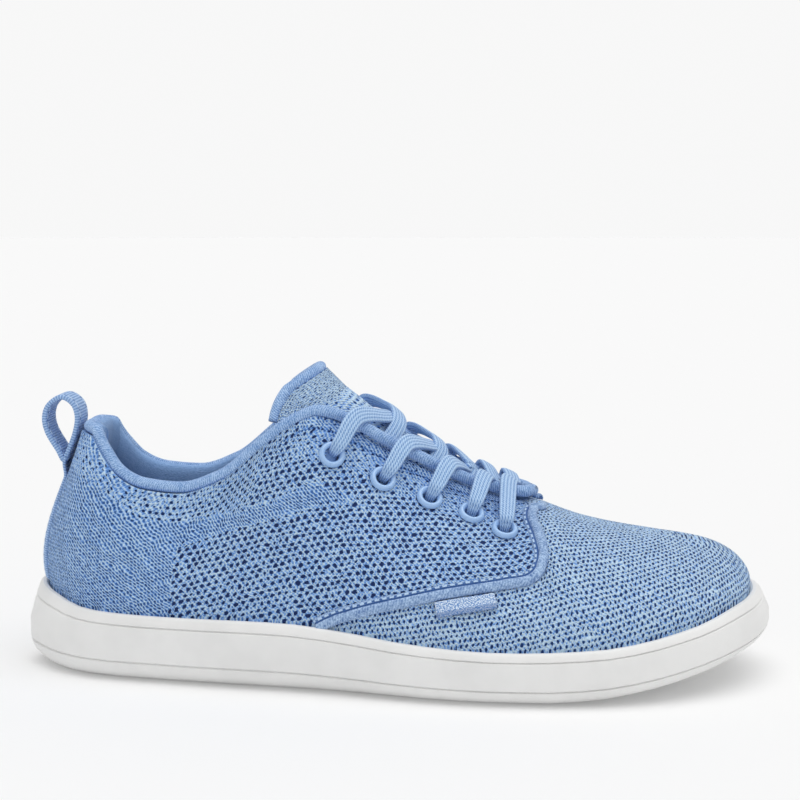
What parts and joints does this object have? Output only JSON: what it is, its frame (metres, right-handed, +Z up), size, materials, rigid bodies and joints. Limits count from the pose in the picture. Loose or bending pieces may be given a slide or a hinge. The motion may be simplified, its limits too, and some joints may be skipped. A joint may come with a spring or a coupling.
{
  "type": "knit sneaker",
  "caption": "Low knit sneaker with a moulded cup sole, padded collar, heel pull loop, loose tongue and flat crossed lacing through ringed eyelets.",
  "frame": {"origin": "the ground under the middle of the sole's length and width", "axes": "+X towards the toe along the sole, +Y towards the inner side of the foot, +Z up"},
  "size_m": [0.2692, 0.1036, 0.1112],
  "materials": {
    "sole_rubber": "satin white moulded rubber with fine lines along the side wall and a patterned tread",
    "insole_foam": "matte brushed cloth over foam",
    "knit": "matte light blue yarn, open mesh and dense rib zones",
    "binding_knit": "matte fine rib, rolled edge",
    "webbing": "matte woven tape with fine cross ribs",
    "eyelet_ring": "light blue, low gloss",
    "lace": "matte flat braid with lengthwise ribs"
  },
  "bodies": {
    "root": {"sole": "sole_rubber", "insole": "insole_foam", "upper": "knit", "tongue": "knit", "tongue_binding": "binding_knit", "topline_binding": "binding_knit", "seam_band_outer": "binding_knit", "seam_band_inner": "binding_knit", "side_tag": "webbing", "heel_tape": "webbing", "pull_loop": "webbing", "eyelet_outer_1": "eyelet_ring", "eyelet_outer_2": "eyelet_ring", "eyelet_outer_3": "eyelet_ring", "eyelet_outer_4": "eyelet_ring", "eyelet_outer_5": "eyelet_ring", "eyelet_inner_1": "eyelet_ring", "eyelet_inner_2": "eyelet_ring", "eyelet_inner_3": "eyelet_ring", "eyelet_inner_4": "eyelet_ring", "eyelet_inner_5": "eyelet_ring", "lace_bar": "lace", "lace_crossing_1": "lace", "lace_crossing_2": "lace", "lace_crossing_3": "lace", "lace_crossing_4": "lace"}
  },
  "joints": []
}
